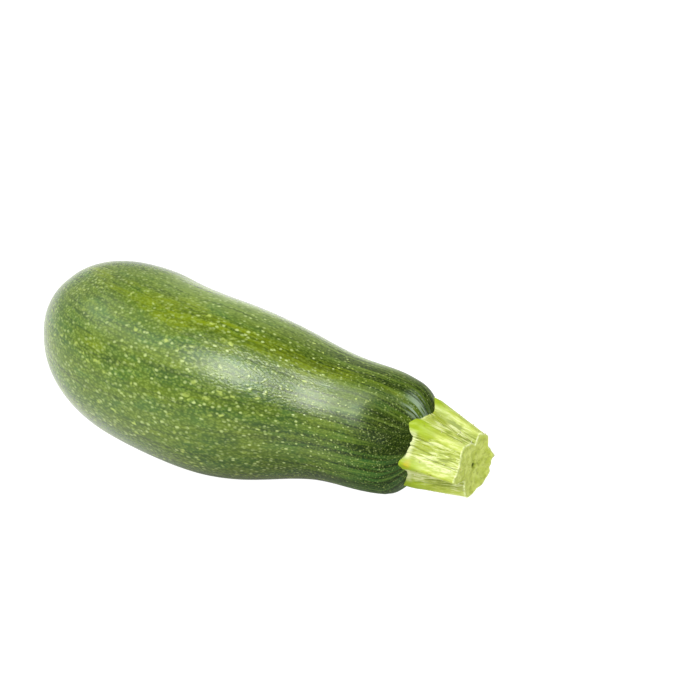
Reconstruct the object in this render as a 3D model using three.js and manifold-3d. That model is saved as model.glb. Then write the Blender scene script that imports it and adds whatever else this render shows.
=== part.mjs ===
// A courgette lying on its belly: the grown fruit and the ribbed stub of the stem it was cut off by.
// Millimetres, +Z up. +X runs from the blossom end to the stem, and -Y is the side seen in front.
import * as THREE from 'three';
import { mergeVertices } from 'three/addons/utils/BufferGeometryUtils.js';
import Module from 'manifold-3d';

const wasm = await Module();
wasm.setup();

const { clamp, degToRad, lerp, smootherstep, smoothstep } = THREE.MathUtils;
const UP = new THREE.Vector3(0, 0, 1);

// The fruit's spine, from the blossom tip, bent back and up, to the middle of the shoulder
const FRUIT_LENGTH = 146.6;
const spine = new THREE.CubicBezierCurve3(
  new THREE.Vector3(-FRUIT_LENGTH / 2, 23.8, 35.5),
  new THREE.Vector3(-FRUIT_LENGTH / 6, -13, 27.4),
  new THREE.Vector3(FRUIT_LENGTH / 6, 3.4, 29),
  new THREE.Vector3(FRUIT_LENGTH / 2, 2.4, 26.5),
);

// The fruit's girth, with places measured along X from the blossom tip
const BELLY_RADIUS = 30;
const NECK_RADIUS = 15.9;
const TAPER_START = 62;
const TAPER_END = 143;
const SHOULDER_FLARE = 4.3;
const FLARE_AT = 131;
const FLARE_SPREAD = 17.7;
const BLOSSOM_REACH = 40.6;
const BLOSSOM_POWER = 2.2;
const SHOULDER_REACH = 9.5;
const SHOULDER_POWER = 2.2;

// Ribs of the stem, and the lobes of the shoulder that swell between their feet
const RIB_COUNT = 6;
const RIB_BEARING = degToRad(-6);
const RIB_SHARPNESS = 2;
const SHOULDER_LOBE = 1;
const BELLY_LOBE = 0.25;
const LOBE_FADE_START = 0.62;
const LOBE_FADE_END = 0.95;
const LOBE_FULL_RADIUS = 10;

// The corky scar that the flower left, and the flat spot that the fruit lies on
const SCAR_RADIUS = 4;
const SCAR_RAISE = 0.5;
const FLAT_HEIGHT = 0.6;

// The stem stub, with heights measured along it from the middle of the shoulder
const STEM_LENGTH = 18.6;
const STEM_SUNK = 9;
const FOOT_RADIUS = 15.6;
const CUT_RADIUS = 11.6;
const FOOT_CURVE = 0.75;
const GROOVE_SHARE = 0.18;
const RIM_WIDTH = 0.7;
const RIM_RAISE = 0.45;
const FACE_DISH = 0.6;
const PIT_RADIUS = 1.5;
const PIT_DEPTH = 2.2;
const JOIN_GAP = 0.3;

// Facets
const FRUIT_SIDES = 60;
const FRUIT_RINGS = 52;
const STEM_SIDES = 72;
const STEM_STEPS = 9;

const fruitSkin = new THREE.MeshStandardMaterial({ color: '#47702a', roughness: 0.35, metalness: 0 });
const stemSkin = new THREE.MeshStandardMaterial({ color: '#b7c65a', roughness: 0.7, metalness: 0 });

// Where the spine is at a share of its length, with the directions along it, to the front and up there
function station(share) {
  const centre = spine.getPoint(share);
  const forward = spine.getTangent(share);
  const front = forward.clone().cross(UP).normalize();
  const top = front.clone().cross(forward);
  return { centre, forward, front, top };
}

// A point at a distance from a station's centre, on a bearing that turns from the front to the top
function around({ centre, forward, front, top }, radius, bearing, height = 0) {
  return centre.clone()
    .addScaledVector(front, radius * Math.cos(bearing))
    .addScaledVector(top, radius * Math.sin(bearing))
    .addScaledVector(forward, height);
}

// Moves every vertex of a geometry whose axis is Y, given as its height, radius and bearing
function reshape(geometry, place) {
  const { position } = geometry.attributes;
  for (let i = 0; i < position.count; i += 1) {
    const height = position.getY(i);
    const radius = Math.hypot(position.getX(i), position.getZ(i));
    const bearing = Math.atan2(position.getZ(i), position.getX(i));
    position.setXYZ(i, ...place(height, radius, bearing));
  }
  return geometry;
}

// A closed solid of a geometry, with its seam and poles welded
function solidOf(geometry) {
  geometry.deleteAttribute('normal');
  geometry.deleteAttribute('uv');
  const welded = mergeVertices(geometry);
  const corners = welded.index.array;
  const triVerts = [];
  for (let i = 0; i < corners.length; i += 3) {
    const [a, b, c] = corners.slice(i, i + 3);
    if (a !== b && b !== c && c !== a) triVerts.push(a, b, c);
  }
  return new wasm.Manifold(new wasm.Mesh({
    numProp: 3,
    vertProperties: new Float32Array(welded.attributes.position.array),
    triVerts: new Uint32Array(triVerts),
  }));
}

// A named mesh of a solid
function meshOf(name, solid, material) {
  const { vertProperties, triVerts } = solid.getMesh();
  const geometry = new THREE.BufferGeometry();
  geometry.setAttribute('position', new THREE.BufferAttribute(vertProperties, 3));
  geometry.setIndex(new THREE.BufferAttribute(triVerts, 1));
  geometry.computeVertexNormals();
  const mesh = new THREE.Mesh(geometry, material);
  mesh.name = name;
  return mesh;
}

// 1 on the crest of a rib, 0 midway between two
function rib(bearing) {
  return Math.abs(Math.cos((RIB_COUNT / 2) * (bearing - RIB_BEARING))) ** RIB_SHARPNESS;
}

// The share of full girth left near an end: 0 at the end itself, 1 from the reach on
function endRounding(distance, reach, power) {
  const left = clamp(1 - distance / reach, 0, 1);
  return (1 - left ** power) ** (1 / power);
}

function fruitRadius(share, bearing) {
  const x = share * FRUIT_LENGTH;
  const taper = lerp(BELLY_RADIUS, NECK_RADIUS, smootherstep(x, TAPER_START, TAPER_END));
  const flare = SHOULDER_FLARE * Math.exp(-(((x - FLARE_AT) / FLARE_SPREAD) ** 2));
  const radius = (taper + flare)
    * endRounding(x, BLOSSOM_REACH, BLOSSOM_POWER)
    * endRounding(FRUIT_LENGTH - x, SHOULDER_REACH, SHOULDER_POWER);
  const lobe = lerp(BELLY_LOBE, SHOULDER_LOBE, smootherstep(share, LOBE_FADE_START, LOBE_FADE_END));
  const wave = -Math.cos(RIB_COUNT * (bearing - RIB_BEARING));
  return radius + lobe * wave * clamp(radius / LOBE_FULL_RADIUS, 0, 1);
}

// The fruit is a sphere drawn out along the spine
function fruitSolid() {
  const sphere = new THREE.SphereGeometry(1, FRUIT_SIDES, FRUIT_RINGS);
  return solidOf(reshape(sphere, (height, _, bearing) => {
    const share = clamp((1 + height) / 2, 0, 1);
    const radius = fruitRadius(share, bearing);
    const onScar = share < 0.5 ? 1 - smoothstep(radius, SCAR_RADIUS / 2, SCAR_RADIUS) : 0;
    const point = around(station(share), radius, bearing, -SCAR_RAISE * onScar);
    point.z = Math.max(point.z, FLAT_HEIGHT);
    return point;
  }));
}

// The stem is a turned stub with its grooves pressed in, cut to fit the shoulder
function stemSolid(fruit) {
  const profile = [new THREE.Vector2(0, -STEM_SUNK)];
  for (let step = 0; step <= STEM_STEPS; step += 1) {
    const height = lerp(-STEM_SUNK, STEM_LENGTH, step / STEM_STEPS);
    const rise = clamp(height / STEM_LENGTH, 0, 1) ** FOOT_CURVE;
    profile.push(new THREE.Vector2(lerp(FOOT_RADIUS, CUT_RADIUS, rise), height));
  }
  profile.push(
    new THREE.Vector2(CUT_RADIUS - RIM_WIDTH / 2, STEM_LENGTH + RIM_RAISE),
    new THREE.Vector2(CUT_RADIUS - RIM_WIDTH * 2, STEM_LENGTH + RIM_RAISE / 2),
    new THREE.Vector2(PIT_RADIUS * 2, STEM_LENGTH - FACE_DISH),
    new THREE.Vector2(PIT_RADIUS, STEM_LENGTH - FACE_DISH * 1.5),
    new THREE.Vector2(PIT_RADIUS / 2, STEM_LENGTH - PIT_DEPTH),
    new THREE.Vector2(0, STEM_LENGTH - PIT_DEPTH),
  );
  const root = station(1);
  const stub = solidOf(reshape(new THREE.LatheGeometry(profile, STEM_SIDES), (height, radius, bearing) => {
    const grooved = radius * (1 - GROOVE_SHARE * (1 - rib(bearing)));
    return around(root, grooved, bearing, height);
  }));
  return stub.subtract(fruit.translate(root.forward.clone().multiplyScalar(JOIN_GAP).toArray()));
}

const fruit = fruitSolid();
const courgette = new THREE.Group();
courgette.add(meshOf('fruit', fruit, fruitSkin));
courgette.add(meshOf('stem', stemSolid(fruit), stemSkin));

// The origin is the middle of the box's underside
const box = new THREE.Box3().setFromObject(courgette);
const middle = box.getCenter(new THREE.Vector3());
courgette.position.set(-middle.x, -middle.y, -box.min.z);

export default courgette;
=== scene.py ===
import math

import bpy
import numpy as np
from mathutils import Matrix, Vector, noise


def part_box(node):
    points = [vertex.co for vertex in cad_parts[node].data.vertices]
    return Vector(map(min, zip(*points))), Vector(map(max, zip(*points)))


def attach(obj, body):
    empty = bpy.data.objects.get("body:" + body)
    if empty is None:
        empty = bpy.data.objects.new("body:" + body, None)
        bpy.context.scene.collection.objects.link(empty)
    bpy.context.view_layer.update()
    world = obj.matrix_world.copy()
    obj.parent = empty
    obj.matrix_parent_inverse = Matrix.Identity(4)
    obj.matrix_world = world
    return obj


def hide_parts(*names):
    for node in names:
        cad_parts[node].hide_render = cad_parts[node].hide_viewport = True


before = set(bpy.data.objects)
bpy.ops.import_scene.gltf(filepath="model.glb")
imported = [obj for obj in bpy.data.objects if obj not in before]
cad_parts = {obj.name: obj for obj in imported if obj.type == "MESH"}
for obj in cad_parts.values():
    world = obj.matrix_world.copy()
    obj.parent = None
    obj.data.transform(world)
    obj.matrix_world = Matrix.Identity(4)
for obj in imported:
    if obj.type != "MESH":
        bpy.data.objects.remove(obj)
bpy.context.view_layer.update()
mm = 0.001

# Fruit
# A courgette grows as one solid piece: a round blossom end, a belly, and a neck with a lobed shoulder.
# Its spine bends back towards the blossom end, and its own weight presses a spot of the belly flat.
fruit_low, fruit_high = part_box("fruit")
fruit_middle_y = (fruit_low.y + fruit_high.y) / 2
fruit_length = 146.6 * mm


def spine_point(part, back, height):
    """A point of the spine's guide: its share of the length from the tip, and its place across and up."""
    return Vector((
        fruit_high.x - fruit_length * (1 - part),
        fruit_middle_y + back * mm,
        fruit_low.z + height * mm,
    ))


spine = [
    spine_point(0, 20.96, 34.9),
    spine_point(1 / 3, -15.84, 26.8),
    spine_point(2 / 3, 0.56, 28.4),
    spine_point(1, -0.44, 25.9),
]


def linear(hex_colour):
    """An sRGB hex colour as the linear RGBA that shaders take."""
    channels = [int(hex_colour[i:i + 2], 16) / 255 for i in (1, 3, 5)]
    return [c / 12.92 if c <= 0.04045 else ((c + 0.055) / 1.055) ** 2.4 for c in channels] + [1.0]


def add_node(tree, kind, *inputs, **settings):
    """Adds a node with its settings, and its inputs in their order or by name in a dictionary.

    An input is a number, a colour, a socket, or a node whose first output it takes.
    """
    made = tree.nodes.new(kind)
    for name, value in settings.items():
        setattr(made, name, value)
    given = inputs[0] if inputs and isinstance(inputs[0], dict) else dict(enumerate(inputs))
    for key, value in given.items():
        if isinstance(key, str):
            socket = next(s for s in made.inputs if s.name == key and s.enabled)
        else:
            socket = made.inputs[key]
        if isinstance(value, bpy.types.Node):
            value = next(s for s in value.outputs if s.enabled)
        if isinstance(value, bpy.types.NodeSocket):
            tree.links.new(value, socket)
        else:
            socket.default_value = value
    return made


# Waxy courgette skin: a grown green rind under a natural wax film, with pale flecks in rows along the fruit.
# It gives the eye a soft, broad gloss over yellow-green, blue-green and dark streaks that run along it.
skin = bpy.data.materials.new("waxy courgette skin")
skin.use_nodes = True
skin_tree = skin.node_tree
skin_shader = skin_tree.nodes["Principled BSDF"]
soft = {"interpolation_type": "SMOOTHSTEP"}

# The skin's own coordinates in mm: along it from the tip, and on a circle of one radius round it
row_radius = 30.0
row_reach = fruit_length / mm / 2
skin_place = add_node(skin_tree, "ShaderNodeAttribute", attribute_name="skin_rows").outputs["Vector"]
skin_parts = add_node(skin_tree, "ShaderNodeSeparateXYZ", skin_place)
along = skin_parts.outputs["X"]
side = add_node(
    skin_tree, "ShaderNodeMath", skin_parts.outputs["Z"], skin_parts.outputs["Y"], operation="ARCTAN2")
neck_start = 110.0
neck_end = 185.0
shoulder_start = 172.0


def rows_of(along_mm, across_mm):
    """The skin's own coordinates, with one unit for so many millimetres along the fruit and across it."""
    units = (1 / along_mm, 1 / across_mm, 1 / across_mm)
    return add_node(skin_tree, "ShaderNodeVectorMath", skin_place, units, operation="MULTIPLY")


def off_bearing(degrees):
    """How far the skin is from one bearing of the fruit, counted from its front to its top, in radians."""
    off = add_node(skin_tree, "ShaderNodeMath", side, math.radians(degrees), operation="SUBTRACT")
    return add_node(skin_tree, "ShaderNodeMath", off, operation="ABSOLUTE")


# Broad streaks, 5 mm across, turn the green to olive, and an olive band runs along the upper side
olive_bearing = 74
olive_half = math.radians(21)
streak = add_node(skin_tree, "ShaderNodeTexNoise", {
    "Vector": rows_of(24, 5), "Scale": 1.0, "Detail": 3.0, "Roughness": 0.6,
})
band_most = add_node(skin_tree, "ShaderNodeMapRange", along, 68.0, 104.0, 0.12, 0.27, **soft)
band_most = add_node(skin_tree, "ShaderNodeMapRange", along, 154.0, 182.0, band_most, 0.1, **soft)
band = add_node(
    skin_tree, "ShaderNodeMapRange", off_bearing(olive_bearing), 0.0, olive_half, band_most, 0.0, **soft)
olive = add_node(skin_tree, "ShaderNodeMath", streak, band, operation="ADD")
green_share = add_node(skin_tree, "ShaderNodeMapRange", olive, 0.36, 0.54, **soft)
olive_share = add_node(skin_tree, "ShaderNodeMapRange", olive, 0.55, 0.82, **soft)

# Painted rim light: a pale band behind it along the top edge lightens the skin, and patches of 13 by 7 mm
# turn bluer or more lime
rim_light_bearing = 114
rim_light_half = math.radians(40)
# The pale top band is painted rim light
painted_rim_light_most = add_node(skin_tree, "ShaderNodeMapRange", along, 60.0, 95.0, 0.0, 0.85, **soft)
painted_rim_light_most = add_node(skin_tree, "ShaderNodeMapRange", along, 205.0, 178.0, 0.0, painted_rim_light_most, **soft)
painted_rim_light_share = add_node(
    skin_tree, "ShaderNodeMapRange", off_bearing(rim_light_bearing), rim_light_half, 0.0, 0.0, painted_rim_light_most, **soft)
patch = add_node(skin_tree, "ShaderNodeTexNoise", {
    "Vector": rows_of(13, 7), "Scale": 1.0, "Detail": 2.0, "Roughness": 0.6,
})
blue_share = add_node(skin_tree, "ShaderNodeMapRange", patch, 0.52, 0.68, 0.0, 0.7, **soft)
lime_share = add_node(skin_tree, "ShaderNodeMapRange", patch, 0.46, 0.3, 0.0, 0.55, **soft)

# A few soft dark blotches: their distance from the tip along the skin, their bearing and their radius
blotches = [
    (88, 29, 6),
    (107, 31, 6),
    (130, -2, 5),
    (62, 50, 5),
    (70, 128, 6),
    (104, 176, 7),
    (135, -150, 6),
]
blotch_shares = []
for blotch_along, blotch_degrees, blotch_radius in blotches:
    blotch_bearing = math.radians(blotch_degrees)
    blotch_middle = (
        blotch_along, row_radius * math.cos(blotch_bearing), row_radius * math.sin(blotch_bearing))
    from_blotch = add_node(
        skin_tree, "ShaderNodeVectorMath", skin_place, blotch_middle, operation="DISTANCE").outputs["Value"]
    blotch_shares.append(add_node(
        skin_tree, "ShaderNodeMapRange", from_blotch, blotch_radius, 0.0, 0.0, 0.75, **soft))

# Thin dark lines run between the rows of flecks, and broader dark and pale ones gather towards the stem
line = add_node(skin_tree, "ShaderNodeTexNoise", {
    "Vector": rows_of(26, 1.1), "Scale": 1.0, "Detail": 2.0, "Roughness": 0.6,
})
line_share = add_node(skin_tree, "ShaderNodeMapRange", line, 0.47, 0.66, 0.0, 0.5, **soft)
neck_line = add_node(skin_tree, "ShaderNodeTexNoise", {
    "Vector": rows_of(60, 1.6), "Scale": 1.0, "Detail": 1.0, "Roughness": 0.6,
})
neck_line_most = add_node(skin_tree, "ShaderNodeMapRange", along, neck_start, neck_end, 0.0, 0.9, **soft)
neck_line_share = add_node(
    skin_tree, "ShaderNodeMapRange", neck_line, 0.46, 0.6, 0.0, neck_line_most, **soft)
pale_line_most = add_node(skin_tree, "ShaderNodeMapRange", along, 120.0, neck_end, 0.0, 0.45, **soft)
pale_line_share = add_node(
    skin_tree, "ShaderNodeMapRange", neck_line, 0.42, 0.3, 0.0, pale_line_most, **soft)

# Every fleck is a cell of a pattern, with its outline warped by a noise of 1.4 mm
warp = add_node(skin_tree, "ShaderNodeTexNoise", {
    "Vector": rows_of(1.4, 1.4), "Scale": 1.0, "Detail": 0.0,
})


def cells(along_mm, across_mm, warping):
    """Cells of a size along and across the fruit, with their outlines warped."""
    shift = add_node(skin_tree, "ShaderNodeVectorMath", {
        "Vector": warp.outputs["Color"], "Scale": warping,
    }, operation="SCALE")
    warped = add_node(
        skin_tree, "ShaderNodeVectorMath", rows_of(along_mm, across_mm), shift, operation="ADD")
    return add_node(skin_tree, "ShaderNodeTexVoronoi", {
        "Vector": warped, "Scale": 1.0, "Randomness": 1.0,
    })


# A fine grain, under a millimetre across, covers the skin, over darker mottles of 2.6 by 1.5 mm
grain_cell = cells(1.15, 0.8, 0.6)
grain_most = add_node(skin_tree, "ShaderNodeMapRange", along, 130.0, 190.0, 0.42, 0.2, **soft)
grain = add_node(
    skin_tree, "ShaderNodeMapRange", grain_cell.outputs["Distance"], 0.7, 0.15, 0.0, grain_most, **soft)
mottle = add_node(skin_tree, "ShaderNodeTexNoise", {
    "Vector": rows_of(2.6, 1.5), "Scale": 1.0, "Detail": 1.0,
})
mottle_share = add_node(skin_tree, "ShaderNodeMapRange", mottle, 0.5, 0.7, 0.0, 0.5, **soft)

# Rounder specks stand in rows, clearest where the neck begins, and smaller ones are scattered on the neck
clear = add_node(skin_tree, "ShaderNodeMapRange", along, 50.0, 150.0, 0.42, 0.9, **soft)
clear = add_node(skin_tree, "ShaderNodeMapRange", along, 158.0, 186.0, clear, 0.45, **soft)
speck_row = add_node(skin_tree, "ShaderNodeTexNoise", {
    "Vector": rows_of(40, 1.5), "Scale": 1.0, "Detail": 1.0,
})
row_most = add_node(skin_tree, "ShaderNodeMapRange", speck_row, 0.4, 0.58, 0.35, clear, **soft)
speck_cell = cells(2.1, 1.6, 0.35)
speck_most = add_node(
    skin_tree, "ShaderNodeMapRange", speck_cell.outputs["Color"], 0.1, 0.7, 0.25, row_most, **soft)
speck_reach = add_node(skin_tree, "ShaderNodeMapRange", along, neck_start, 180.0, 0.42, 0.3, **soft)
speck = add_node(
    skin_tree, "ShaderNodeMapRange", speck_cell.outputs["Distance"],
    speck_reach, 0.1, 0.0, speck_most, **soft)
neck_speck_cell = cells(3.4, 2.2, 0.3)
neck_speck_most = add_node(skin_tree, "ShaderNodeMapRange", along, 150.0, 180.0, 0.0, 0.28, **soft)
neck_speck_most = add_node(
    skin_tree, "ShaderNodeMapRange", neck_speck_cell.outputs["Color"],
    0.1, 0.7, 0.1, neck_speck_most, **soft)
neck_speck = add_node(
    skin_tree, "ShaderNodeMapRange", neck_speck_cell.outputs["Distance"],
    0.27, 0.1, 0.0, neck_speck_most, **soft)

# Flecks of a millimetre stand in loose groups
group = add_node(skin_tree, "ShaderNodeTexNoise", {
    "Vector": rows_of(18, 7), "Scale": 1.0, "Detail": 1.0,
})
group_most = add_node(skin_tree, "ShaderNodeMapRange", group, 0.42, 0.64, 0.05, clear, **soft)
fleck_cell = cells(4.4, 3.0, 0.5)
fleck_reach = add_node(skin_tree, "ShaderNodeMapRange", along, 120.0, 170.0, 0.28, 0.17, **soft)
fleck = add_node(
    skin_tree, "ShaderNodeMapRange", fleck_cell.outputs["Distance"],
    fleck_reach, 0.08, 0.0, group_most, **soft)

# The rind darkens towards the stem and is bluer low down, and a near-black painted shade fills a cleft on the
# shoulder's front
cleft_bearing = 34
cleft_half = (math.radians(32), math.radians(10))
shoulder_sides = (math.radians(64), math.radians(50))
low_sides = (math.radians(22), math.radians(-6))
neck_share = add_node(skin_tree, "ShaderNodeMapRange", along, neck_start, neck_end, 0.0, 0.24, **soft)
# The shoulder's front is darker rind, deepened by painted shade
shoulder_dark_and_shade_most = add_node(skin_tree, "ShaderNodeMapRange", along, shoulder_start, 200.0, 0.0, 0.6, **soft)
shoulder_dark_and_shade = add_node(
    skin_tree, "ShaderNodeMapRange", side, *shoulder_sides, 0.0, shoulder_dark_and_shade_most, **soft)
# Painted shade in the cleft on the shoulder's front
cleft_shade_most = add_node(skin_tree, "ShaderNodeMapRange", along, shoulder_start, 190.0, 0.0, 0.62, **soft)
cleft_shade_share = add_node(
    skin_tree, "ShaderNodeMapRange", off_bearing(cleft_bearing), *cleft_half, 0.0, cleft_shade_most, **soft)
low_most = add_node(skin_tree, "ShaderNodeMapRange", along, 155.0, neck_end, 0.0, 0.5, **soft)
low_share = add_node(skin_tree, "ShaderNodeMapRange", side, *low_sides, 0.0, low_most, **soft)

# A painted highlight whitens one lobe beside the stem, in streaks
painted_sheen_bearing = 77
painted_sheen_half = (math.radians(16), math.radians(6))
painted_sheen_most = add_node(skin_tree, "ShaderNodeMapRange", along, 192.0, 204.0, 0.0, 0.75, **soft)
painted_sheen_side = add_node(
    skin_tree, "ShaderNodeMapRange", off_bearing(painted_sheen_bearing), *painted_sheen_half, 0.0, painted_sheen_most, **soft)
painted_sheen_streak = add_node(skin_tree, "ShaderNodeTexNoise", {
    "Vector": rows_of(12, 1.3), "Scale": 1.0, "Detail": 1.0,
})
painted_sheen_share = add_node(skin_tree, "ShaderNodeMapRange", painted_sheen_streak, 0.38, 0.66, 0.0, painted_sheen_side, **soft)

# The blossom left a corky scar on the tip, with a ragged edge and a dark pit
cork = add_node(skin_tree, "ShaderNodeTexNoise", {
    "Vector": rows_of(1.6, 1.2), "Scale": 1.0, "Detail": 2.0,
})
scar_edge = add_node(skin_tree, "ShaderNodeMath", cork, 4.0, along, operation="MULTIPLY_ADD")
scar_share = add_node(skin_tree, "ShaderNodeMapRange", scar_edge, 8.6, 7.0, **soft)
cork_share = add_node(skin_tree, "ShaderNodeMapRange", cork, 0.4, 0.62, 0.0, scar_share, **soft)
scar_pit_share = add_node(skin_tree, "ShaderNodeMapRange", scar_edge, 5.0, 3.0, 0.0, 0.8, **soft)

# The coats of colour, from the ground up
skin_colour = linear("#3d5a16")
for coat_share, coat_colour in [
    (green_share, "#4b610d"),
    (blue_share, "#3a5f1f"),
    (lime_share, "#586e06"),
    (olive_share, "#6b7d00"),
    # painted rim light along the top edge
    (painted_rim_light_share, "#7f9740"),
    *[(blotch_share, "#304a16") for blotch_share in blotch_shares],
    (mottle_share, "#35500c"),
    (neck_share, "#22350a"),
    # darker rind with painted shade on the shoulder's front
    (shoulder_dark_and_shade, "#1d3006"),
    # painted shade in the cleft
    (cleft_shade_share, "#0f1c02"),
    (low_share, "#2a5a2c"),
    (line_share, "#1f3208"),
    (neck_line_share, "#132204"),
    (pale_line_share, "#6b8232"),
    (grain, "#80963a"),
    (speck, "#b0c077"),
    (neck_speck, "#98ab66"),
    (fleck, "#adbe5a"),
    # painted highlight on one lobe, in streaks
    (painted_sheen_share, "#93a78e"),
    (scar_share, "#8d7a4b"),
    (cork_share, "#b5a06c"),
    (scar_pit_share, "#5d4b28"),
]:
    skin_colour = add_node(skin_tree, "ShaderNodeMix", {
        "Factor": coat_share, "A": skin_colour, "B": linear(coat_colour),
    }, data_type="RGBA")

# The flecks and the cork stand up a little, and the gloss goes dull towards the stem
fleck_height = 0.06 * mm
dull_start = 159.0
dull_end = 189.0
relief = add_node(skin_tree, "ShaderNodeMath", grain, speck, operation="ADD")
relief = add_node(skin_tree, "ShaderNodeMath", cork_share, 2.0, relief, operation="MULTIPLY_ADD")
fleck_bump = add_node(skin_tree, "ShaderNodeBump", {
    "Height": relief, "Distance": fleck_height, "Strength": 1.0,
})
dull = add_node(skin_tree, "ShaderNodeMapRange", along, dull_start, dull_end, 0.27, 0.44, **soft)
wax = add_node(skin_tree, "ShaderNodeMapRange", along, dull_start, dull_end, 0.35, 0.08, **soft)
skin_tree.links.new(skin_colour.outputs[2], skin_shader.inputs["Base Color"])
skin_tree.links.new(fleck_bump.outputs[0], skin_shader.inputs["Normal"])
skin_tree.links.new(dull.outputs[0], skin_shader.inputs["Roughness"])
skin_tree.links.new(wax.outputs[0], skin_shader.inputs["Specular IOR Level"])
skin_shader.inputs["IOR"].default_value = 1.46

# Flats along the neck slope in to the stem: bearings on the neck and at the stem, depth in mm, and slope
neck_flats = {
    "Front": (46, 46, 0.9, 0.54),
    "Back": (166, 160, 0.6, 0.8),
    "Low Back": (-134, -150, 0.5, 1.0),
    "Under": (-80, -90, 0.4, 1.2),
}

# The fruit's sizes. A place along it is a length from the tip, or a share of its length where it has no unit
fruit_sizes = {
    "Sides": 240,
    "Rings": 320,
    "Length": fruit_length,
    "Spine Tip": spine[0],
    "Spine Belly": spine[1],
    "Spine Neck": spine[2],
    "Spine Shoulder": spine[3],
    "Belly Radius": 30 * mm,
    "Neck Radius": 15.9 * mm,
    "Taper Start": 62 * mm,
    "Taper End": 143 * mm,
    "Flare": 4.3 * mm,
    "Flare At": 131 * mm,
    "Flare Spread": 17.7 * mm,
    "Back Swell": 1.9 * mm,
    "Back Swell At": 104 * mm,
    "Back Swell Length": 17 * mm,
    "Back Swell Bearing": math.radians(118),
    "Back Swell Spread": math.radians(38),
    "Blossom Reach": 40.6 * mm,
    "Blossom Power": 2.2,
    "Shoulder Reach": 9.5 * mm,
    "Shoulder Power": 2.2,
    "Lobe Count": 6.0,
    "Lobe Bearing": math.radians(-1),
    "Lobe Start": 0.88,
    "Lobe Full": 0.985,
    "Belly Lobe": 0.15 * mm,
    "Shoulder Lobe": 0.6 * mm,
    "Lobe Full Radius": 10 * mm,
    "Crease Power": 0.8,
    "Crease Rise": 2.0,
    "Crease Foot": -1.3,
    "Flat Start": 0.5,
    "Flat Full": 0.85,
    "Flat Turn Start": 0.85,
    "Flat Turn End": 0.95,
    "Flat Spread": math.radians(30),
    "Slope Foot": 10.4 * mm,
    "Slope Rounding": 4 * mm,
    "Collar Start": 0.9,
    "Collar Full": 0.985,
    "Collar Height": 2.8 * mm,
    "Collar Bearing": math.radians(104),
    "Collar Spread": math.radians(32),
    "Wobble Width": 16.0,
    "Wobble Height": 0.25 * mm,
    "Scar Radius": 3.4 * mm,
    "Scar Width": 1.0 * mm,
    "Scar Ring": 0.5 * mm,
    "Scar Dip": 1.1 * mm,
    "Scar Start": 0.1,
    "Scar End": 0.3,
    "Row Radius": row_radius,
    "Row Full Radius": 16 * mm,
    "Row Start": 0.3,
    "Row Full": 0.4,
    "Floor": fruit_low.z,
    "Skin": skin,
}
for flat, (neck_bearing, stem_bearing, flat_depth, flat_slope) in neck_flats.items():
    fruit_sizes[flat + " Neck Bearing"] = math.radians(neck_bearing)
    fruit_sizes[flat + " Stem Bearing"] = math.radians(stem_bearing)
    fruit_sizes[flat + " Flat"] = flat_depth * mm
    fruit_sizes[flat + " Slope"] = flat_slope


def new_shape_tree(name, sizes, surface=False):
    """A Geometry Nodes tree with a named input for each size, and the sockets that give them."""
    kinds = {int: "NodeSocketInt", float: "NodeSocketFloat", Vector: "NodeSocketVector"}
    tree = bpy.data.node_groups.new(name, "GeometryNodeTree")
    if surface:
        tree.interface.new_socket("Surface", in_out="INPUT", socket_type="NodeSocketGeometry")
    for size_name, value in sizes.items():
        kind = kinds.get(type(value), "NodeSocketMaterial")
        tree.interface.new_socket(size_name, in_out="INPUT", socket_type=kind)
    tree.interface.new_socket("Shape", in_out="OUTPUT", socket_type="NodeSocketGeometry")
    return tree, add_node(tree, "NodeGroupInput").outputs


def grown(name, tree, sizes, surface=None):
    """A plain mesh object of what a tree makes from its sizes, on a surface where it needs one."""
    shape = bpy.data.objects.new(name, surface or bpy.data.meshes.new(name))
    bpy.context.scene.collection.objects.link(shape)
    modifier = shape.modifiers.new("growth", "NODES")
    modifier.node_group = tree
    for socket in tree.interface.items_tree:
        if socket.name in sizes:
            modifier[socket.identifier] = sizes[socket.name]
    depsgraph = bpy.context.evaluated_depsgraph_get()
    mesh = bpy.data.meshes.new_from_object(
        shape.evaluated_get(depsgraph), preserve_all_data_layers=True, depsgraph=depsgraph)
    shape.modifiers.remove(modifier)
    shape.data = mesh
    mesh.name = name
    return shape


fruit_tree, size = new_shape_tree("courgette fruit", fruit_sizes)
softer = {"interpolation_type": "SMOOTHERSTEP"}


def end_rounding(distance, reach, power):
    """The share of full girth left near an end: 0 at the end itself, 1 from the reach on."""
    done = add_node(fruit_tree, "ShaderNodeMath", distance, reach, operation="DIVIDE", use_clamp=True)
    left = add_node(fruit_tree, "ShaderNodeMath", 1.0, done, operation="SUBTRACT")
    left = add_node(fruit_tree, "ShaderNodeMath", left, power, operation="POWER")
    full = add_node(fruit_tree, "ShaderNodeMath", 1.0, left, operation="SUBTRACT")
    root = add_node(fruit_tree, "ShaderNodeMath", 1.0, power, operation="DIVIDE")
    return add_node(fruit_tree, "ShaderNodeMath", full, root, operation="POWER")


def swell(value, middle, spread):
    """A bell-shaped swelling: 1 in its middle, fading out past its spread."""
    off = add_node(fruit_tree, "ShaderNodeMath", value, middle, operation="SUBTRACT")
    off = add_node(fruit_tree, "ShaderNodeMath", off, spread, operation="DIVIDE")
    square = add_node(fruit_tree, "ShaderNodeMath", off, off, operation="MULTIPLY")
    fall = add_node(fruit_tree, "ShaderNodeMath", square, -1.0, operation="MULTIPLY")
    return add_node(fruit_tree, "ShaderNodeMath", fall, operation="EXPONENT")


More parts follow.
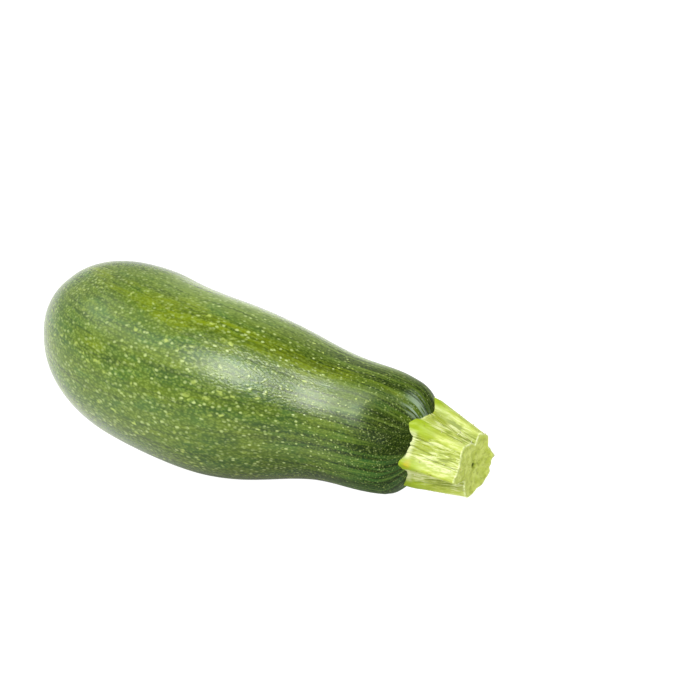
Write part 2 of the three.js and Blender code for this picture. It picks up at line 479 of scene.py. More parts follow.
def side_swell(middle, spread):
    """A swelling on one side of the fruit, round a bearing, that closes smoothly on the far side."""
    off = add_node(fruit_tree, "ShaderNodeMath", bearing, middle, operation="SUBTRACT")
    facing = add_node(fruit_tree, "ShaderNodeMath", off, operation="COSINE")
    fall = add_node(fruit_tree, "ShaderNodeMath", facing, 2.0, -2.0, operation="MULTIPLY_ADD")
    square = add_node(fruit_tree, "ShaderNodeMath", spread, spread, operation="MULTIPLY")
    fall = add_node(fruit_tree, "ShaderNodeMath", fall, square, operation="DIVIDE")
    return add_node(fruit_tree, "ShaderNodeMath", fall, operation="EXPONENT")


# The fruit is a sphere drawn out along the spine: a vertex's height says where, its bearing on which side
sphere = add_node(fruit_tree, "GeometryNodeMeshUVSphere", size["Sides"], size["Rings"], 1.0)
on_sphere = add_node(fruit_tree, "ShaderNodeSeparateXYZ", add_node(fruit_tree, "GeometryNodeInputPosition"))
share = add_node(fruit_tree, "ShaderNodeMapRange", on_sphere.outputs["Z"], -1.0)
bearing = add_node(
    fruit_tree, "ShaderNodeMath", on_sphere.outputs["X"], on_sphere.outputs["Y"], operation="ARCTAN2")
guide = [size["Spine Tip"], size["Spine Belly"], size["Spine Neck"], size["Spine Shoulder"]]
while len(guide) > 1:
    legs = guide
    guide = [
        add_node(fruit_tree, "ShaderNodeMix", {"Factor": share, "A": a, "B": b}, data_type="VECTOR")
        for a, b in zip(legs, legs[1:])
    ]
spine_middle = guide[0]
leg = add_node(fruit_tree, "ShaderNodeVectorMath", legs[1], legs[0], operation="SUBTRACT")
forward = add_node(fruit_tree, "ShaderNodeVectorMath", leg, operation="NORMALIZE")
level = add_node(fruit_tree, "ShaderNodeVectorMath", forward, (0.0, 0.0, 1.0), operation="CROSS_PRODUCT")
front = add_node(fruit_tree, "ShaderNodeVectorMath", level, operation="NORMALIZE")
top = add_node(fruit_tree, "ShaderNodeVectorMath", front, forward, operation="CROSS_PRODUCT")

# Its girth: a belly that tapers to a neck, which flares a little before the rounded shoulder
along_fruit = add_node(fruit_tree, "ShaderNodeMath", share, size["Length"], operation="MULTIPLY")
to_stem = add_node(fruit_tree, "ShaderNodeMath", size["Length"], along_fruit, operation="SUBTRACT")
girth = add_node(
    fruit_tree, "ShaderNodeMapRange", along_fruit, size["Taper Start"], size["Taper End"],
    size["Belly Radius"], size["Neck Radius"], **softer)
flare = swell(along_fruit, size["Flare At"], size["Flare Spread"])
girth = add_node(fruit_tree, "ShaderNodeMath", flare, size["Flare"], girth, operation="MULTIPLY_ADD")
blossom_rounding = end_rounding(along_fruit, size["Blossom Reach"], size["Blossom Power"])
shoulder_rounding = end_rounding(to_stem, size["Shoulder Reach"], size["Shoulder Power"])
for rounding in (blossom_rounding, shoulder_rounding):
    girth = add_node(fruit_tree, "ShaderNodeMath", girth, rounding, operation="MULTIPLY")
lobe_share = add_node(
    fruit_tree, "ShaderNodeMath", girth, size["Lobe Full Radius"], operation="DIVIDE", use_clamp=True)

# Lobes that meet in creases, sharp before the stem and faint on the belly
lobe = add_node(
    fruit_tree, "ShaderNodeMapRange", share, size["Lobe Start"], size["Lobe Full"],
    size["Belly Lobe"], size["Shoulder Lobe"], **softer)
half_wave = add_node(fruit_tree, "ShaderNodeMath", bearing, size["Lobe Bearing"], operation="SUBTRACT")
half_wave = add_node(fruit_tree, "ShaderNodeMath", half_wave, size["Lobe Count"], operation="MULTIPLY")
half_wave = add_node(fruit_tree, "ShaderNodeMath", half_wave, 0.5, operation="MULTIPLY")
crease = add_node(fruit_tree, "ShaderNodeMath", half_wave, operation="SINE")
crease = add_node(fruit_tree, "ShaderNodeMath", crease, operation="ABSOLUTE")
crease = add_node(fruit_tree, "ShaderNodeMath", crease, size["Crease Power"], operation="POWER")
wave = add_node(
    fruit_tree, "ShaderNodeMath", crease, size["Crease Rise"], size["Crease Foot"], operation="MULTIPLY_ADD")
wave = add_node(fruit_tree, "ShaderNodeMath", wave, lobe_share, operation="MULTIPLY")
radius = add_node(fruit_tree, "ShaderNodeMath", lobe, wave, girth, operation="MULTIPLY_ADD")

# A soft swelling on the back, where the belly passes into the neck
back_swell = add_node(
    fruit_tree, "ShaderNodeMath", swell(along_fruit, size["Back Swell At"], size["Back Swell Length"]),
    side_swell(size["Back Swell Bearing"], size["Back Swell Spread"]), operation="MULTIPLY")
radius = add_node(
    fruit_tree, "ShaderNodeMath", back_swell, size["Back Swell"], radius, operation="MULTIPLY_ADD")

# The skin's own coordinates, which close to a point at the tip, and a slight waviness that follows them
from_tip = add_node(fruit_tree, "ShaderNodeMath", on_sphere.outputs["Z"], -1.0, operation="MULTIPLY")
from_tip = add_node(fruit_tree, "ShaderNodeMath", from_tip, operation="ARCCOSINE")
tip_row = add_node(
    fruit_tree, "ShaderNodeMapRange", girth, 0.0, size["Row Full Radius"], 0.0, size["Row Radius"])
row_size = add_node(
    fruit_tree, "ShaderNodeMapRange", share, size["Row Start"], size["Row Full"], tip_row, size["Row Radius"])
across_front = add_node(fruit_tree, "ShaderNodeMath", bearing, operation="COSINE")
across_top = add_node(fruit_tree, "ShaderNodeMath", bearing, operation="SINE")
skin_rows = add_node(
    fruit_tree, "ShaderNodeCombineXYZ",
    add_node(fruit_tree, "ShaderNodeMath", from_tip, row_reach, operation="MULTIPLY"),
    add_node(fruit_tree, "ShaderNodeMath", across_front, row_size, operation="MULTIPLY"),
    add_node(fruit_tree, "ShaderNodeMath", across_top, row_size, operation="MULTIPLY"))
wobble_scale = add_node(fruit_tree, "ShaderNodeMath", 1.0, size["Wobble Width"], operation="DIVIDE")
wobble = add_node(fruit_tree, "ShaderNodeTexNoise", {
    "Vector": skin_rows, "Scale": wobble_scale, "Detail": 1.0,
})
wobble = add_node(fruit_tree, "ShaderNodeMath", wobble, 0.5, operation="SUBTRACT")
wobble = add_node(fruit_tree, "ShaderNodeMath", wobble, lobe_share, operation="MULTIPLY")
radius = add_node(
    fruit_tree, "ShaderNodeMath", wobble, size["Wobble Height"], radius, operation="MULTIPLY_ADD")

# The flats press the neck in and slope down to the stem
for flat in neck_flats:
    flat_bearing = add_node(
        fruit_tree, "ShaderNodeMapRange", share, size["Flat Turn Start"], size["Flat Turn End"],
        size[flat + " Neck Bearing"], size[flat + " Stem Bearing"], **softer)
    depth = add_node(
        fruit_tree, "ShaderNodeMapRange", share, size["Flat Start"], size["Flat Full"],
        0.0, size[flat + " Flat"], **softer)
    depth = add_node(fruit_tree, "ShaderNodeMath", depth, shoulder_rounding, operation="MULTIPLY")
    flattened = add_node(fruit_tree, "ShaderNodeMath", radius, depth, operation="SUBTRACT")
    slope = add_node(
        fruit_tree, "ShaderNodeMath", to_stem, size[flat + " Slope"], size["Slope Foot"],
        operation="MULTIPLY_ADD")
    sloped = add_node(
        fruit_tree, "ShaderNodeMath", flattened, slope, size["Slope Rounding"], operation="SMOOTH_MIN")
    radius = add_node(fruit_tree, "ShaderNodeMix", {
        "Factor": side_swell(flat_bearing, size["Flat Spread"]), "A": radius, "B": sloped,
    }, data_type="FLOAT")

# The lobe on top leans forward over the stem, and the blossom's scar is a low ring round a dip at the tip
collar = add_node(
    fruit_tree, "ShaderNodeMapRange", share, size["Collar Start"], size["Collar Full"],
    0.0, size["Collar Height"], **softer)
collar = add_node(
    fruit_tree, "ShaderNodeMath", collar, side_swell(size["Collar Bearing"], size["Collar Spread"]),
    operation="MULTIPLY")
scar_dip = add_node(
    fruit_tree, "ShaderNodeMapRange", girth, 0.0, size["Scar Radius"], size["Scar Dip"], 0.0, **softer)
scar_ring = add_node(
    fruit_tree, "ShaderNodeMath", swell(girth, size["Scar Radius"], size["Scar Width"]), size["Scar Ring"],
    operation="MULTIPLY")
scar = add_node(fruit_tree, "ShaderNodeMath", scar_dip, scar_ring, operation="SUBTRACT")
push = add_node(
    fruit_tree, "ShaderNodeMapRange", share, size["Scar Start"], size["Scar End"], scar, collar)

# Each vertex goes out from the spine on its bearing, and none goes below the surface that the fruit lies on
outward_front = add_node(
    fruit_tree, "ShaderNodeVectorMath", {"Vector": front, "Scale": across_front}, operation="SCALE")
outward_top = add_node(
    fruit_tree, "ShaderNodeVectorMath", {"Vector": top, "Scale": across_top}, operation="SCALE")
outward = add_node(fruit_tree, "ShaderNodeVectorMath", outward_front, outward_top, operation="ADD")
outward = add_node(
    fruit_tree, "ShaderNodeVectorMath", {"Vector": outward, "Scale": radius}, operation="SCALE")
pushed = add_node(
    fruit_tree, "ShaderNodeVectorMath", {"Vector": forward, "Scale": push}, operation="SCALE")
point = add_node(fruit_tree, "ShaderNodeVectorMath", spine_middle, outward, operation="ADD")
point = add_node(fruit_tree, "ShaderNodeVectorMath", point, pushed, operation="ADD")
point_parts = add_node(fruit_tree, "ShaderNodeSeparateXYZ", point)
resting = add_node(
    fruit_tree, "ShaderNodeCombineXYZ", point_parts.outputs["X"], point_parts.outputs["Y"],
    add_node(fruit_tree, "ShaderNodeMath", point_parts.outputs["Z"], size["Floor"], operation="MAXIMUM"))
with_rows = add_node(fruit_tree, "GeometryNodeStoreNamedAttribute", {
    "Geometry": sphere, "Name": "skin_rows", "Value": skin_rows,
}, data_type="FLOAT_VECTOR", domain="POINT")
shaped = add_node(fruit_tree, "GeometryNodeSetPosition", {"Geometry": with_rows, "Position": resting})
smooth = add_node(fruit_tree, "GeometryNodeSetShadeSmooth", {"Geometry": shaped})
whole = add_node(fruit_tree, "GeometryNodeRealizeInstances", {"Geometry": smooth})
skinned = add_node(fruit_tree, "GeometryNodeSetMaterial", {"Geometry": whole, "Material": size["Skin"]})
add_node(fruit_tree, "NodeGroupOutput", {"Shape": skinned})

fruit = grown("courgette_fruit", fruit_tree, fruit_sizes)
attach(fruit, "root")
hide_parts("fruit")

# Stem
# The stub that the fruit hung from: ribs with broad feet on the shoulder, and faces of dry fibre between.
# It grew as one with the fruit, and a knife cut it off: that left a pale rim, a dished face and a small pit.
stem_forward = (spine[3] - spine[2]).normalized()
stem_front = stem_forward.cross(Vector((0, 0, 1))).normalized()
stem_top = stem_front.cross(stem_forward)

# Sizes in mm, with heights along the stem from the middle of the shoulder
stem_length = 18.0
stem_sunk = 7.0
stem_girth = 12
sunk_spread = 0.1
cut_tilt = 2.0
cut_high_bearing = math.radians(-150)
cut_roughness = 0.35
pith_front = 0.9
pith_top = -1.2
face_dish = 0.8
face_gather = 1.3
uneven_height = 0.25
uneven_width = 2.0
rim_raise = 0.3
rim_width = 0.7
lip_raise = 0.2
lip_height = 0.5
pit_radius = 0.8
pit_depth = 1.2
flap_bearing = 182
flap_half = math.radians(10)
flap_height = 1.4
flap_thickness = 0.5
fibre_depth = 0.2
rib_smoothness = 0.75
ragged_depth = 0.5
ragged_height = -2
ragged_reach = 3
stem_sides = 420
wall_rows = 130
face_rows = 32

# The stem's outline in order round it: bearing and radius at the foot, the same at the cut, and 1 on a rib
stem_outline = [
    (-27, 11.2, -31, 8.0, 0),
    (-3, 13.8, -7, 13.2, 1),
    (12, 11.2, 4, 10.3, 0.1),
    (34, 10.4, 24, 9.6, 0),
    (61, 12.5, 46, 10.6, 1),
    (77, 12.0, 66, 8.6, 0.2),
    (94, 12.2, 86, 6.0, 0),
    (112, 15.2, 103, 9.3, 1),
    (128, 14.8, 125, 8.9, 0.8),
    (152, 12.2, 152, 6.3, 0),
    (182, 14.0, 182, 7.0, 1),
    (210, 12.0, 215, 6.8, 0),
    (240, 14.2, 238, 8.8, 1),
    (268, 12.4, 270, 9.3, 0),
    (300, 14.6, 299, 11.9, 1),
]

# Furrows between the fibres: bearing at the foot and at the cut, depth, and the heights of their two ends
stem_furrows = [
    (86, 72, 0.6, 1, 11),
    (72, 62, 0.35, 9, 17),
    (40, 32, 0.5, -3, 7),
    (24, 14, 0.45, -3, 9),
    (48, 38, 0.3, 4, 16),
    (14, 6, 0.4, 3, 17),
    (-16, -18, 0.6, -2, 18),
    (-44, -44, 0.4, 0, 15),
]
furrow_half = math.radians(1.1)
furrow_fade = 2
bearings = np.arange(stem_sides) * 2 * math.pi / stem_sides


def angle_from(degrees):
    """How far the stem's sides are from a bearing in degrees, the short way round, in radians."""
    return np.abs((bearings - np.radians(degrees) + math.pi) % (2 * math.pi) - math.pi)


def stem_noise(across_mm, along_mm, heights, seed):
    """Noise along the stem's wall, in streaks of a width and a length in millimetres."""
    turns = stem_girth / across_mm
    return np.array([
        noise.noise((turns * math.cos(b), turns * math.sin(b), h / along_mm + seed))
        for b, h in zip(bearings, heights)
    ])


cut_edge = stem_length + cut_tilt * np.cos(bearings - cut_high_bearing)
cut_edge = cut_edge + cut_roughness * stem_noise(2.5, 1.0, np.zeros(stem_sides), 3.0)


def stem_ring(rise):
    """A ring of the stem's wall, from its sunken foot at 0 to the cut at 1, as arrays round it.

    They are its place to the front, to the top and along, and then how much each point is on a rib, in
    raised fibre, in a furrow, on the cut's rim and on its face.
    """
    heights = -stem_sunk + (cut_edge + stem_sunk) * rise
    part = max(0.0, (rise * (stem_length + stem_sunk) - stem_sunk) / stem_length)
    foot_bearing, foot_radius, cut_bearing, cut_radius, rib = np.array(stem_outline).T
    turned = foot_bearing + (cut_bearing - foot_bearing) * part
    drawn_in = cut_radius + (foot_radius - cut_radius) * (1 - part)
    corners = np.append(turned, turned[0] + 360)
    around = (np.degrees(bearings) - corners[0]) % 360 + corners[0]
    after = np.clip(np.searchsorted(corners, around, side="right"), 1, len(corners) - 1)
    before = after - 1
    step = (around - corners[before]) / (corners[after] - corners[before])
    step = step * step * (3 - 2 * step)
    following = after % len(stem_outline)
    radii = drawn_in[before] * (1 - step) + drawn_in[following] * step
    ribs = rib[before] * (1 - step) + rib[following] * step
    radii = radii + sunk_spread * np.clip(-heights, 0, None)
    furrows = np.zeros(stem_sides)
    for foot, cut, furrow_depth, low, high in stem_furrows:
        begun = np.clip((heights - low) / furrow_fade, 0, 1)
        left = np.clip((high - heights) / furrow_fade, 0, 1)
        off = angle_from(foot + (cut - foot) * part)
        furrows += furrow_depth * (begun * left) * np.exp(-(off / furrow_half) ** 2)
    fibres = stem_noise(1.4, 9, heights, 0) + 0.8 * stem_noise(0.5, 4, heights, 20)
    near_foot = np.exp(-((heights - ragged_height) / ragged_reach) ** 2)
    ragged = stem_noise(1.5, 3, heights, 40) * near_foot
    lip = np.exp(-((cut_edge - heights) / lip_height) ** 2)
    radii = radii - furrows + fibre_depth * fibres * (1 - rib_smoothness * ribs)
    radii = radii + ragged_depth * ragged + lip_raise * lip
    fronts = radii * np.cos(bearings)
    tops = radii * np.sin(bearings)
    return fronts, tops, heights, ribs, fibres, furrows, lip, np.zeros(stem_sides)


rings = [stem_ring(rise) for rise in np.linspace(0, 1, wall_rows)]
edge_front, edge_top = rings[-1][:2]
flap = flap_height * np.exp(-(angle_from(flap_bearing) / flap_half) ** 2)


def face_ring(part):
    """A ring of the cut's face, from its pith at 0 to its edge at 1, as the same arrays."""
    fronts = pith_front + (edge_front - pith_front) * part
    tops = pith_top + (edge_top - pith_top) * part
    from_pith = np.hypot(fronts - pith_front, tops - pith_top)
    inset = np.hypot(edge_front - fronts, edge_top - tops)
    on_rim = np.exp(-(inset / rim_width) ** 2)
    on_flap = np.exp(-(inset / flap_thickness) ** 2)
    in_pit = np.exp(-(from_pith / pit_radius) ** 4)
    uneven = np.array([
        noise.noise((f / uneven_width, t / uneven_width, 7)) for f, t in zip(fronts, tops)
    ])
    heights = stem_length + (cut_edge - stem_length) * part - face_dish * (1 - part ** 2)
    heights = heights + rim_raise * on_rim + flap * on_flap
    heights = heights - pit_depth * in_pit + uneven_height * uneven * (1 - on_rim)
    return fronts, tops, heights, np.zeros(stem_sides), uneven, in_pit, on_rim, np.ones(stem_sides)


def stem_point(to_front, to_top, height):
    """A point of the stem, from its distances in mm to the front, to the top and along."""
    return spine[3] + (stem_front * to_front + stem_top * to_top + stem_forward * height) * mm


for face_row in range(1, face_rows):
    rings.append(face_ring((1 - face_row / face_rows) ** face_gather))
stem_points = [stem_point(*spot) for ring in rings for spot in zip(*ring[:3])]
root_point = len(stem_points)
pit_point = root_point + 1
stem_points.append(stem_point(0, 0, -stem_sunk))
stem_points.append(stem_point(pith_front, pith_top, float(np.mean(rings[-1][2]))))
last_ring = (len(rings) - 1) * stem_sides
stem_faces = []
for this_ring in range(0, last_ring, stem_sides):
    next_ring = this_ring + stem_sides
    for i in range(stem_sides):
        j = (i + 1) % stem_sides
        stem_faces.append((this_ring + i, next_ring + i, next_ring + j, this_ring + j))
for i in range(stem_sides):
    j = (i + 1) % stem_sides
    stem_faces.append((root_point, i, j))
    stem_faces.append((pit_point, last_ring + j, last_ring + i))
stem_data = bpy.data.meshes.new("courgette_stem")
stem_data.from_pydata(stem_points, [], stem_faces)
stem_data.polygons.foreach_set("use_smooth", [True] * len(stem_faces))

# Each point keeps what it is for the material to read, with the values of the two end points last
stem_kinds = {
    "stem_height": (-stem_sunk, stem_length),
    "stem_rib": (0, 0),
    "stem_fibre": (0, 0),
    "stem_furrow": (0, 1),
    "stem_rim": (0, 0),
    "stem_cut": (0, 1),
}
for kind_index, (kind_name, end_values) in enumerate(stem_kinds.items(), 2):
    kind_values = np.append(np.concatenate([ring[kind_index] for ring in rings]), end_values)
    attribute = stem_data.attributes.new(kind_name, "FLOAT", "POINT")
    attribute.data.foreach_set("value", kind_values.astype(np.float32))
on_girth = [stem_girth * np.cos(bearings), stem_girth * np.sin(bearings)]
stem_rows = np.concatenate([np.stack([*on_girth, ring[2]], axis=1) for ring in rings] + [np.zeros((2, 3))])
attribute = stem_data.attributes.new("stem_rows", "FLOAT_VECTOR", "POINT")
attribute.data.foreach_set("vector", stem_rows.astype(np.float32).ravel())

# Fresh stem fibre: pale dry strands over yellow-green, grown smooth on the ribs, with a juicy cut end.
# It gives the eye a dull, streaked, much paler piece than the fruit, greenest on its ribs' feet.
stem_skin = bpy.data.materials.new("ribbed courgette stem")
stem_skin.use_nodes = True
stem_tree = stem_skin.node_tree
stem_shader = stem_tree.nodes["Principled BSDF"]
stem_place = add_node(stem_tree, "ShaderNodeAttribute", attribute_name="stem_rows").outputs["Vector"]
at_height, at_rib, at_fibre, at_furrow, at_rim, at_cut = [
    add_node(stem_tree, "ShaderNodeAttribute", attribute_name=kind_name).outputs["Fac"]
    for kind_name in stem_kinds
]

# Strands half a millimetre wide and several millimetres long, in patches that have dried paler
strand_units = (1 / 0.42, 1 / 0.42, 1 / 3.2)
dry_units = (1 / 4, 1 / 4, 1 / 7)
strand_height = 0.2 * mm
strand_place = add_node(stem_tree, "ShaderNodeVectorMath", stem_place, strand_units, operation="MULTIPLY")
strand = add_node(stem_tree, "ShaderNodeTexNoise", {
    "Vector": strand_place, "Scale": 1.0, "Detail": 2.0, "Roughness": 0.6,
})
dry_place = add_node(stem_tree, "ShaderNodeVectorMath", stem_place, dry_units, operation="MULTIPLY")
dry = add_node(stem_tree, "ShaderNodeTexNoise", {"Vector": dry_place, "Scale": 1.0, "Detail": 1.0})
fibre = add_node(stem_tree, "ShaderNodeMath", strand, 2.8, -1.58, operation="MULTIPLY_ADD")
fibre = add_node(stem_tree, "ShaderNodeMath", at_fibre, 0.5, fibre, operation="MULTIPLY_ADD")
fibre = add_node(stem_tree, "ShaderNodeMath", dry, 1.5, fibre, operation="MULTIPLY_ADD")
pale_share = add_node(stem_tree, "ShaderNodeMapRange", fibre, 0.5, 1.1, 0.0, 0.85, **soft)
dark_share = add_node(stem_tree, "ShaderNodeMapRange", fibre, 0.5, 0.15, 0.0, 0.85, **soft)
# The furrows are coloured darker as painted shade
furrow_shade_share = add_node(stem_tree, "ShaderNodeMapRange", at_furrow, 0.1, 0.5, 0.0, 0.6, **soft)

# The ribs are greener, most of all at their feet, one of which has a yellow stain.
# Low down the wall has damp patches, and its edge on the shoulder is pale
stain_middle = (12.0, -0.4, -0.4)
stain_radius = 2.0
rib_share = add_node(stem_tree, "ShaderNodeMapRange", at_rib, 0.35, 0.95, 0.0, 0.55, **soft)
foot_most = add_node(stem_tree, "ShaderNodeMapRange", at_height, 8.0, 0.0, 0.0, 1.0, **soft)
foot_share = add_node(stem_tree, "ShaderNodeMapRange", at_rib, 0.2, 0.75, 0.0, foot_most, **soft)
damp_most = add_node(stem_tree, "ShaderNodeMapRange", at_height, 8.0, 4.0, 0.0, 0.8, **soft)
damp_most = add_node(stem_tree, "ShaderNodeMapRange", at_height, -0.8, 1.0, 0.0, damp_most, **soft)
damp_share = add_node(stem_tree, "ShaderNodeMapRange", dry, 0.56, 0.42, 0.0, damp_most, **soft)
edge_share = add_node(stem_tree, "ShaderNodeMapRange", at_height, 0.3, -1.2, 0.0, 0.55, **soft)
from_stain = add_node(
    stem_tree, "ShaderNodeVectorMath", stem_place, stain_middle, operation="DISTANCE").outputs["Value"]
stain_share = add_node(stem_tree, "ShaderNodeMapRange", from_stain, stain_radius, 0.3, 0.0, 0.4, **soft)

# The cut has a grain of 0.9 mm, a dark pit and a pale rim that comes and goes
cut_grain_width = 0.9 * mm
cut_light = add_node(stem_tree, "ShaderNodeMapRange", at_fibre, -0.3, 0.4, 0.0, at_cut, **soft)
cut_place = add_node(stem_tree, "ShaderNodeTexCoord").outputs["Object"]
cut_grain = add_node(stem_tree, "ShaderNodeTexNoise", {
    "Vector": cut_place, "Scale": 1 / cut_grain_width, "Detail": 2.0, "Roughness": 0.6,
})
grain_share = add_node(stem_tree, "ShaderNodeMapRange", cut_grain, 0.5, 0.66, 0.0, 0.55, **soft)
grain_share = add_node(stem_tree, "ShaderNodeMath", grain_share, at_cut, operation="MULTIPLY")
pit_share = add_node(stem_tree, "ShaderNodeMapRange", at_furrow, 0.2, 0.8, 0.0, at_cut, **soft)
rim_most = add_node(stem_tree, "ShaderNodeMapRange", cut_grain, 0.58, 0.42, 0.25, 0.8, **soft)
rim_share = add_node(stem_tree, "ShaderNodeMapRange", at_rim, 0.35, 0.95, 0.0, rim_most, **soft)

stem_colour = linear("#a3b049")
for coat_share, coat_colour in [
    (pale_share, "#d3d99d"),
    (dark_share, "#75841f"),
    (rib_share, "#aebd38"),
    (damp_share, "#8b9a0e"),
    (edge_share, "#dfe5b0"),
    (foot_share, "#8fa600"),
    (stain_share, "#c8a01a"),
    # painted shade in the furrows
    (furrow_shade_share, "#66771e"),
    (at_cut, "#b4c346"),
    (cut_light, "#c6d363"),
    (grain_share, "#8f9a34"),
    (pit_share, "#586f26"),
    (rim_share, "#dbe5a8"),
]:
    stem_colour = add_node(stem_tree, "ShaderNodeMix", {
        "Factor": coat_share, "A": stem_colour, "B": linear(coat_colour),
    }, data_type="RGBA")
strand_bump = add_node(stem_tree, "ShaderNodeBump", {
    "Height": strand, "Distance": strand_height, "Strength": 0.7,
})
stem_tree.links.new(stem_colour.outputs[2], stem_shader.inputs["Base Color"])
stem_tree.links.new(strand_bump.outputs[0], stem_shader.inputs["Normal"])
stem_shader.inputs["Roughness"].default_value = 0.55
stem_shader.inputs["Specular IOR Level"].default_value = 0.34
stem_data.materials.append(stem_skin)
stem = bpy.data.objects.new("courgette_stem", stem_data)
bpy.context.scene.collection.objects.link(stem)
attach(stem, "root")
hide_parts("stem")

# Bristles
# The stem grows short stiff bristles of dry plant hair, pointed, thinly spread over its ribs and faces.
# Handling has worn most of them down to stubs less than a millimetre long.

# Dry plant hair, grown brown on some bristles and pale on others: it gives the eye specks along the stem
bristle_skin = bpy.data.materials.new("dry plant bristle")
bristle_skin.use_nodes = True
bristle_tree = bristle_skin.node_tree
bristle_shader = bristle_tree.nodes["Principled BSDF"]
bristle_patch = 3 * mm
bristle_place = add_node(bristle_tree, "ShaderNodeTexCoord").outputs["Object"]
bristle_tone = add_node(bristle_tree, "ShaderNodeTexNoise", {
    "Vector": bristle_place, "Scale": 1 / bristle_patch,
})
bristle_pale = add_node(bristle_tree, "ShaderNodeMapRange", bristle_tone, 0.42, 0.62, **soft)
bristle_colour = add_node(bristle_tree, "ShaderNodeMix", {
    "Factor": bristle_pale, "A": linear("#8a7434"), "B": linear("#e6ebc8"),
}, data_type="RGBA")
bristle_tree.links.new(bristle_colour.outputs[2], bristle_shader.inputs["Base Color"])
bristle_shader.inputs["Roughness"].default_value = 0.5

bristle_sizes = {
    "Bristles in a Square Metre": 90000.0,
    "Sides": 5,
    "Radius": 0.16 * mm,
    "Length": 0.8 * mm,
    "Most Worn": 0.3,
    "Least Worn": 1.0,
    "Lowest": 1.0,
    "Seed": 11,
    "Bristle": bristle_skin,
}
bristle_shape, bristle_size = new_shape_tree("stem bristles", bristle_sizes, surface=True)
on_height = add_node(bristle_shape, "GeometryNodeInputNamedAttribute", "stem_height", data_type="FLOAT")
on_cut = add_node(bristle_shape, "GeometryNodeInputNamedAttribute", "stem_cut", data_type="FLOAT")
on_wall = add_node(bristle_shape, "ShaderNodeMath", on_cut, 0.01, operation="LESS_THAN")
above = add_node(bristle_shape, "ShaderNodeMath", on_height, bristle_size["Lowest"], operation="GREATER_THAN")
grows = add_node(bristle_shape, "ShaderNodeMath", on_wall, above, operation="MULTIPLY")
bristle_roots = add_node(bristle_shape, "GeometryNodeDistributePointsOnFaces", {
    "Mesh": bristle_size["Surface"], "Selection": grows,
    "Density": bristle_size["Bristles in a Square Metre"], "Seed": bristle_size["Seed"],
})
spike = add_node(bristle_shape, "GeometryNodeMeshCone", {
    "Vertices": bristle_size["Sides"], "Radius Bottom": bristle_size["Radius"],
    "Depth": bristle_size["Length"],
})
worn = add_node(bristle_shape, "FunctionNodeRandomValue", {
    "Min": bristle_size["Most Worn"], "Max": bristle_size["Least Worn"], "Seed": bristle_size["Seed"],
}, data_type="FLOAT")
spikes = add_node(bristle_shape, "GeometryNodeInstanceOnPoints", {
    "Points": bristle_roots, "Instance": spike, "Rotation": bristle_roots.outputs["Rotation"],
    "Scale": worn,
})
whole_bristles = add_node(bristle_shape, "GeometryNodeRealizeInstances", {"Geometry": spikes})
finished_bristles = add_node(bristle_shape, "GeometryNodeSetMaterial", {
    "Geometry": whole_bristles, "Material": bristle_size["Bristle"],
})
add_node(bristle_shape, "NodeGroupOutput", {"Shape": finished_bristles})
bristles = grown("stem_bristles", bristle_shape, bristle_sizes, stem_data.copy())
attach(bristles, "root")

# Table, lights and camera
# A plain white table in a pale room, under one large soft box overhead and to the front.
# A weaker soft box behind lifts the upper edge, and one wall on the left shows in the gloss.
table_half = 3.0
table_data = bpy.data.meshes.new("table")
table_data.from_pydata([
    (-table_half, -table_half, 0), (table_half, -table_half, 0),
    (table_half, table_half, 0), (-table_half, table_half, 0),
], [], [(0, 1, 2, 3)])

# Matt white paper that glows as painted light: it gives the eye an even white ground without an edge.
# The camera sees it plain white, but the skin mirrors its glow and is lit by it, with a painted soft shadow
# round the object.
table_white = bpy.data.materials.new("glowing white paper")
table_white.use_nodes = True
table_tree = table_white.node_tree
table_shader = table_tree.nodes["Principled BSDF"]
paper_glow = 1.02
shadow_middle = (15 * mm, 0.0, 0.0)
shadow_units = (1 / (42 * mm), 1 / (35 * mm), 0.0)
on_table = add_node(table_tree, "ShaderNodeNewGeometry").outputs["Position"]
off_shadow = add_node(table_tree, "ShaderNodeVectorMath", on_table, shadow_middle, operation="SUBTRACT")
off_shadow = add_node(table_tree, "ShaderNodeVectorMath", off_shadow, shadow_units, operation="MULTIPLY")
from_shadow = add_node(
    table_tree, "ShaderNodeVectorMath", off_shadow, operation="LENGTH").outputs["Value"]
# Painted shadow: the glow is dimmer round the object and brighter further off
mirrored_glow = add_node(table_tree, "ShaderNodeMapRange", from_shadow, 0.6, 2.2, 0.25, 1.35, **soft)
table_glow = add_node(table_tree, "ShaderNodeMix", {
    "Factor": add_node(table_tree, "ShaderNodeLightPath").outputs["Is Camera Ray"],
    "A": mirrored_glow, "B": paper_glow,
}, data_type="FLOAT")
table_tree.links.new(table_glow.outputs[0], table_shader.inputs["Emission Strength"])
table_shader.inputs["Emission Color"].default_value = (1, 1, 1, 1)
table_shader.inputs["Base Color"].default_value = linear("#666666")
table_shader.inputs["Roughness"].default_value = 0.8
table_data.materials.append(table_white)
table = bpy.data.objects.new("table", table_data)
bpy.context.scene.collection.objects.link(table)


def direction(azimuth, elevation):
    """The direction from the object to a place at an azimuth, counted from the front towards the stem."""
    a = math.radians(azimuth)
    e = math.radians(elevation)
    return Vector((math.sin(a) * math.cos(e), -math.cos(a) * math.cos(e), math.sin(e)))


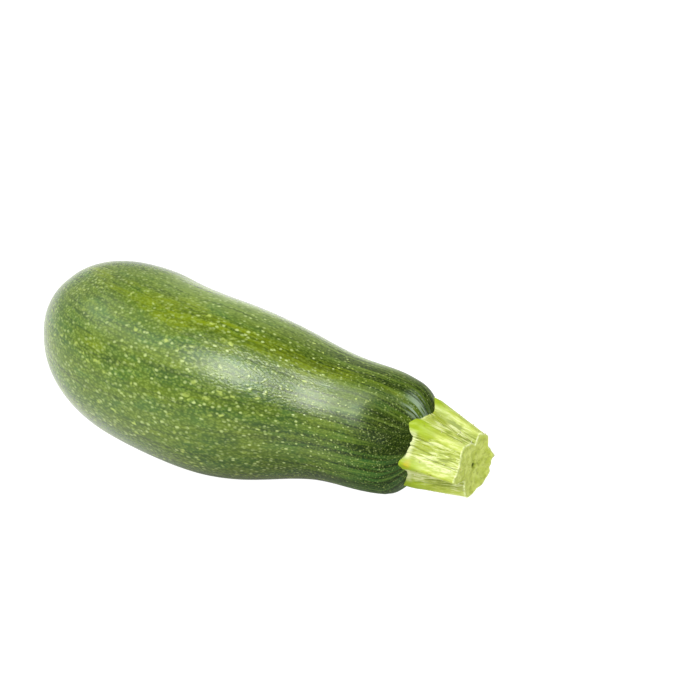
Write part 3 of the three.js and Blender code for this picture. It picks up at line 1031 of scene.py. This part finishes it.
# The room is white, dimmer behind the object, dark overhead and dark on the side of the stem
dark_side = direction(62, 35)
room = bpy.data.worlds.new("pale room")
room.use_nodes = True
room_tree = room.node_tree
look = add_node(room_tree, "ShaderNodeTexCoord").outputs["Generated"]
look_parts = add_node(room_tree, "ShaderNodeSeparateXYZ", look)
behind_light = add_node(
    room_tree, "ShaderNodeMapRange", look_parts.outputs["Y"], 0.3, 0.9, 0.85, 0.65, **soft)
wall_light = add_node(
    room_tree, "ShaderNodeMapRange", look_parts.outputs["Z"], 0.6, 0.9, 1.0, 0.08, **soft)
to_dark_side = add_node(
    room_tree, "ShaderNodeVectorMath", look, dark_side, operation="DOT_PRODUCT").outputs["Value"]
side_light = add_node(room_tree, "ShaderNodeMapRange", to_dark_side, 0.6, 0.88, 1.0, 0.05, **soft)
room_light = add_node(room_tree, "ShaderNodeMath", behind_light, wall_light, operation="MULTIPLY")
room_light = add_node(room_tree, "ShaderNodeMath", room_light, side_light, operation="MULTIPLY")
room_tree.links.new(room_light.outputs[0], room_tree.nodes["Background"].inputs["Strength"])
room_tree.nodes["Background"].inputs["Color"].default_value = (1, 1, 1, 1)
bpy.context.scene.world = room
lamp_distance = 0.9


def soft_box(name, azimuth, elevation, shift, width, height, brightness):
    """A rectangular lamp that faces the object, shifted sideways.

    Its brightness is its radiance, with white paper at 1.
    """
    lamp_data = bpy.data.lights.new(name, "AREA")
    lamp_data.shape = "RECTANGLE"
    lamp_data.size = width
    lamp_data.size_y = height
    lamp_data.energy = brightness * math.pi * width * height
    lamp = bpy.data.objects.new(name, lamp_data)
    bpy.context.scene.collection.objects.link(lamp)
    lamp.location = direction(azimuth, elevation) * lamp_distance + direction(azimuth + 90, 0) * shift
    lamp.rotation_euler = direction(azimuth, elevation).to_track_quat("Z", "Y").to_euler()
    return lamp


# Two boxes light the object as a whole, and the gloss mirrors the front one in strips that dim to the left
soft_box("overhead soft box", -8, 61, 0.0, 0.66, 0.6, 8.5).visible_glossy = False
soft_box("back light", 172, 36, 0.0, 0.5, 0.4, 4.2).visible_glossy = False
soft_box("bright cloth", -8, 62, 0.12, 0.33, 0.52, 18.0).visible_diffuse = False
soft_box("middle cloth", -8, 62, -0.128, 0.165, 0.52, 9.0).visible_diffuse = False
soft_box("dim cloth", -8, 62, -0.285, 0.15, 0.52, 5.5).visible_diffuse = False
soft_box("left wall", -75, 42, 0.0, 0.5, 0.4, 2.9).visible_diffuse = False

# The photograph's own view, with the picture's width and the focal length in pixels
picture_width_px = 700
focal_length_px = 2160.7
camera_distance = 0.768
camera_aim = Vector((7.01, 55.81, 19.4)) * mm
camera_way = direction(28.36, 28)
camera_data = bpy.data.cameras.new("camera")
camera_data.sensor_width = 36
camera_data.lens = camera_data.sensor_width * focal_length_px / picture_width_px
camera_data.clip_end = 20
camera = bpy.data.objects.new("camera", camera_data)
bpy.context.scene.collection.objects.link(camera)
camera.location = camera_aim + camera_way * camera_distance
camera.rotation_euler = camera_way.to_track_quat("Z", "Y").to_euler()
bpy.context.scene.camera = camera
bpy.context.scene.view_settings.view_transform = "Standard"
